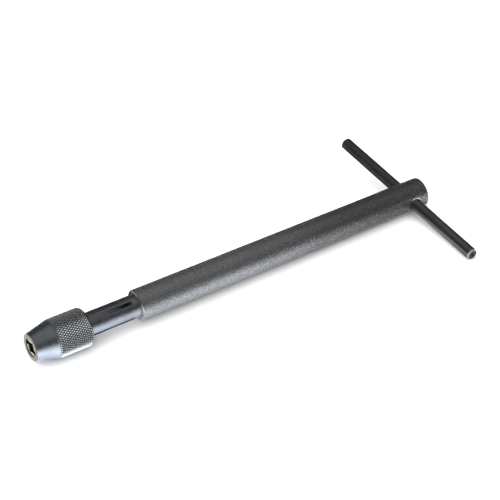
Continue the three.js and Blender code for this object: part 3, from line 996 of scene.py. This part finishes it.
pieces = [
    (chuck_nut(), "chuck_nut", "nut", "blued_nut"),
    (spindle(), "spindle", "tool_body", "satin_neck"),
    (moved(jaw("draw_in_jaw_a"), turn(JAW_TURN)), "jaw_a", "jaw_a", "jaw_steel"),
    (moved(jaw("draw_in_jaw_b"), turn(JAW_TURN + math.pi)), "jaw_b", "jaw_b", "jaw_steel"),
    (jaw_spring("front"), "jaw_spring_front", "jaw_carrier", "spring_steel"),
    (jaw_spring("rear"), "jaw_spring_rear", "jaw_carrier", "spring_steel"),
    (body_tube(), "body_tube", "tool_body", "blackened_tube"),
    (tail_bush(), "tail_bush", "tool_body", "satin_neck"),
    (rear_plug(), "rear_plug", "tool_body", "bright_pins"),
    (friction_plunger(), "friction_plunger", "tool_body", "bright_pins"),
    (friction_spring(), "friction_spring", "tool_body", "spring_steel"),
    (tee_handle(), "tee_handle", "handle", "black_oxide_bar"),
]
pieces += [(dowel(node), node, "tool_body", "bright_pins") for node in DOWEL_FEET]

for piece, node, body, slot in pieces:
    install(piece, node, body, materials[slot])

# ---- where the tool rests, floor, light and camera ----


def lowest_point(centre, axis, radius, down):
    """The lowest point of a circle."""
    return centre + (down - axis * down.dot(axis)).normalized() * radius


def resting_plane():
    """A point and the upward normal of the floor.

    The nut, the tube's rear and one end of the bar touch it.
    """
    nut = Vector((NOSE + (NUT_LENGTH - NUT_REAR_ROUND) * MM, 0, AXIS))
    rear = Vector((NOSE + (TUBE_REAR - TUBE_REAR_CHAMFER) * MM, 0, AXIS))
    reach = HANDLE_LENGTH / 2 - HANDLE_CHAMFER
    bar = Vector((NOSE + HANDLE_STATION * MM, -reach * MM, AXIS))
    up = Vector((0, 0, 1))
    for _ in range(6):
        touching = [
            lowest_point(nut, Vector((1, 0, 0)), NUT_RADIUS * MM, -up),
            lowest_point(rear, Vector((1, 0, 0)), TUBE_RADIUS * MM, -up),
            lowest_point(bar, Vector((0, 1, 0)), HANDLE_RADIUS * MM, -up),
        ]
        up = (touching[2] - touching[0]).cross(touching[1] - touching[0]).normalized()
        up = up if up.z > 0 else -up
    return touching[0], up


contact, up = resting_plane()
forward = Vector((1, 0, 0))
forward = (forward - up * forward.dot(up)).normalized()
leftward = up.cross(forward)
nose = Vector((NOSE, 0, AXIS))
origin = nose - up * (nose - contact).dot(up)
stand = Matrix((
    (forward.x, leftward.x, up.x, origin.x),
    (forward.y, leftward.y, up.y, origin.y),
    (forward.z, leftward.z, up.z, origin.z),
    (0, 0, 0, 1),
))


def plain_material(name, colour, roughness):
    material = bpy.data.materials.new(name)
    material.use_nodes = True
    shader = material.node_tree.nodes["Principled BSDF"]
    shader.inputs["Base Color"].default_value = (*colour, 1)
    shader.inputs["Roughness"].default_value = roughness
    shader.inputs["Specular IOR Level"].default_value = 0.1
    return material


def stage_sheet(name, low, high, height, material):
    """Flat sheet over the floor between two corners in metres."""
    outline = [(low[0], low[1]), (high[0], low[1]), (high[0], high[1]), (low[0], high[1])]
    sheet = solid(name, [(x, y, height) for x, y in outline], [(0, 1, 2, 3)])
    sheet.data.transform(stand)
    sheet.data.materials.append(material)
    return sheet


def floor():
    pale = plain_material("pale_floor", (0.9, 0.9, 0.9), 0.8)
    stage_sheet("floor", (-FLOOR_REACH, -FLOOR_REACH), (FLOOR_REACH, FLOOR_REACH), 0, pale)


def backdrop(height=4.0, sides=64):
    """Pale wall round the floor; only the camera sees it, so it changes no light on the tool."""
    radius = FLOOR_REACH - 0.1
    turns = [2 * math.pi * i / sides for i in range(sides)]
    corners = [(radius * math.cos(a), radius * math.sin(a), z) for z in (-0.1, height) for a in turns]
    faces = [(i, (i + 1) % sides, sides + (i + 1) % sides, sides + i) for i in range(sides)]
    wall = solid("backdrop", corners, faces)
    wall.data.transform(stand)
    material = plain_material("pale_wall", (0, 0, 0), 1.0)
    shader = material.node_tree.nodes["Principled BSDF"]
    shader.inputs["Emission Color"].default_value = (1, 1, 1, 1)
    shader.inputs["Emission Strength"].default_value = 1.0
    wall.data.materials.append(material)
    wall.visible_diffuse = False
    wall.visible_glossy = False
    wall.visible_transmission = False
    wall.visible_shadow = False


def ramp(nodes, links, value, stops):
    """Colour over a value from 0 to 1, given as (position, level, blueness)."""
    node = nodes.new("ShaderNodeValToRGB")
    elements = node.color_ramp.elements
    for index, (position, level, blue) in enumerate(stops):
        element = elements[index] if index < 2 else elements.new(position)
        element.position = position
        element.color = (level * (1 - blue), level, level * (1 + blue), 1)
    links.new(value, node.inputs[0])
    return node.outputs[0]


def reflector(name, low, high, level_along, level_away):
    """Sheet just over the floor that only the steel's reflections see.

    Its glow changes along the tool and fades away from it; both are ramps over 0 to 1.
    """
    material = bpy.data.materials.new(name)
    material.use_nodes = True
    nodes, links = material.node_tree.nodes, material.node_tree.links
    nodes.clear()
    place = nodes.new("ShaderNodeSeparateXYZ")
    links.new(nodes.new("ShaderNodeTexCoord").outputs["Generated"], place.inputs[0])
    along_tool = ramp(nodes, links, place.outputs["X"], level_along)
    away = ramp(nodes, links, place.outputs["Y"], level_away)
    glow = nodes.new("ShaderNodeMix")
    glow.data_type = "RGBA"
    glow.blend_type = "MULTIPLY"
    glow.inputs[0].default_value = 1
    links.new(along_tool, glow.inputs[6])
    links.new(away, glow.inputs[7])
    emission = nodes.new("ShaderNodeEmission")
    links.new(glow.outputs[2], emission.inputs[0])
    links.new(emission.outputs[0], nodes.new("ShaderNodeOutputMaterial").inputs[0])
    sheet = stage_sheet(name, low, high, 0.0002, material)
    sheet.visible_camera = False
    sheet.visible_diffuse = False
    sheet.visible_shadow = False


def reflectors():
    """Bright, bluish in front of the nose and dimmer towards the handle; dark behind the tool."""
    along_tool = ((0.2, 1.7, 0.08), (0.3, 1.75, 0.08), (0.43, 1.35, 0.06), (0.65, 1.2, 0.04), (1, 0.5, 0))
    away = ((0, 0.12, 0), (0.4, 0.25, 0), (0.8, 0.65, 0), (0.92, 1, 0), (0.96, 0.97, 0), (1, 0.6, 0))
    reflector("front_bounce", (-0.1, -0.3), (0.31, -0.009), along_tool, away)
    along_tool = ((0, 0.04, 0), (0.3, 0.12, 0))
    reflector("rear_flag", (0.004, 0.012), (0.9, 0.6), along_tool, ((0, 1, 0), (1, 1, 0)))


def studio_sky():
    """Dim room with a soft ceiling; low down it is brighter on the camera's side than behind the tool."""
    world = bpy.data.worlds.new("studio")
    bpy.context.scene.world = world
    world.use_nodes = True
    nodes, links = world.node_tree.nodes, world.node_tree.links
    direction = nodes.new("ShaderNodeTexCoord").outputs["Generated"]
    split = nodes.new("ShaderNodeSeparateXYZ")
    links.new(direction, split.inputs[0])
    ceiling = ((0.6, 0.07, 0.02), (0.86, 0.21, 0.0), (1, 0.23, 0.0))
    low_front = ((0, 0.2, 0.06), (0.08, 0.16, 0.06), (0.2, 0.1, 0.05))
    low_back = ((0, 0.03, 0), (0.3, 0.06, 0))
    front = ramp(nodes, links, split.outputs["Z"], (*low_front, *ceiling))
    back = ramp(nodes, links, split.outputs["Z"], (*low_back, *ceiling))
    side = nodes.new("ShaderNodeMapRange")
    links.new(split.outputs["Y"], side.inputs[0])
    side.inputs[1].default_value = -0.25
    side.inputs[2].default_value = 0.25
    both = nodes.new("ShaderNodeMix")
    both.data_type = "RGBA"
    links.new(side.outputs[0], both.inputs[0])
    links.new(front, both.inputs[6])
    links.new(back, both.inputs[7])
    links.new(both.outputs[2], nodes["Background"].inputs["Color"])


def sun(name, direction, strength, spread):
    """Soft, even light from a direction in the floor's axes; polished steel doesn't mirror it."""
    light = bpy.data.lights.new(name, "SUN")
    light.energy = strength
    light.angle = math.radians(spread)
    lamp = bpy.data.objects.new(name, light)
    lamp.matrix_world = (stand.to_3x3() @ Vector(direction)).to_track_quat("Z", "Y").to_matrix().to_4x4()
    lamp.visible_glossy = False
    bpy.context.scene.collection.objects.link(lamp)


def camera():
    toward = Vector((
        math.sin(CAMERA_TURN) * math.cos(CAMERA_RISE),
        -math.cos(CAMERA_TURN) * math.cos(CAMERA_RISE),
        math.sin(CAMERA_RISE),
    ))
    place = CAMERA_TARGET + toward * CAMERA_DISTANCE
    data = bpy.data.cameras.new("camera")
    data.lens = CAMERA_LENS
    data.sensor_width = 36
    data.clip_start = 0.01
    data.clip_end = 20
    eye = bpy.data.objects.new("camera", data)
    view = toward.to_track_quat("Z", "Y").to_matrix().to_4x4()
    eye.matrix_world = stand @ Matrix.Translation(place) @ view
    bpy.context.scene.collection.objects.link(eye)
    bpy.context.scene.camera = eye


floor()
backdrop()
reflectors()
studio_sky()
sun("key", (-0.6, 0, 0.86), 6.6, 125)
camera()
bpy.context.scene.view_settings.view_transform = "Standard"
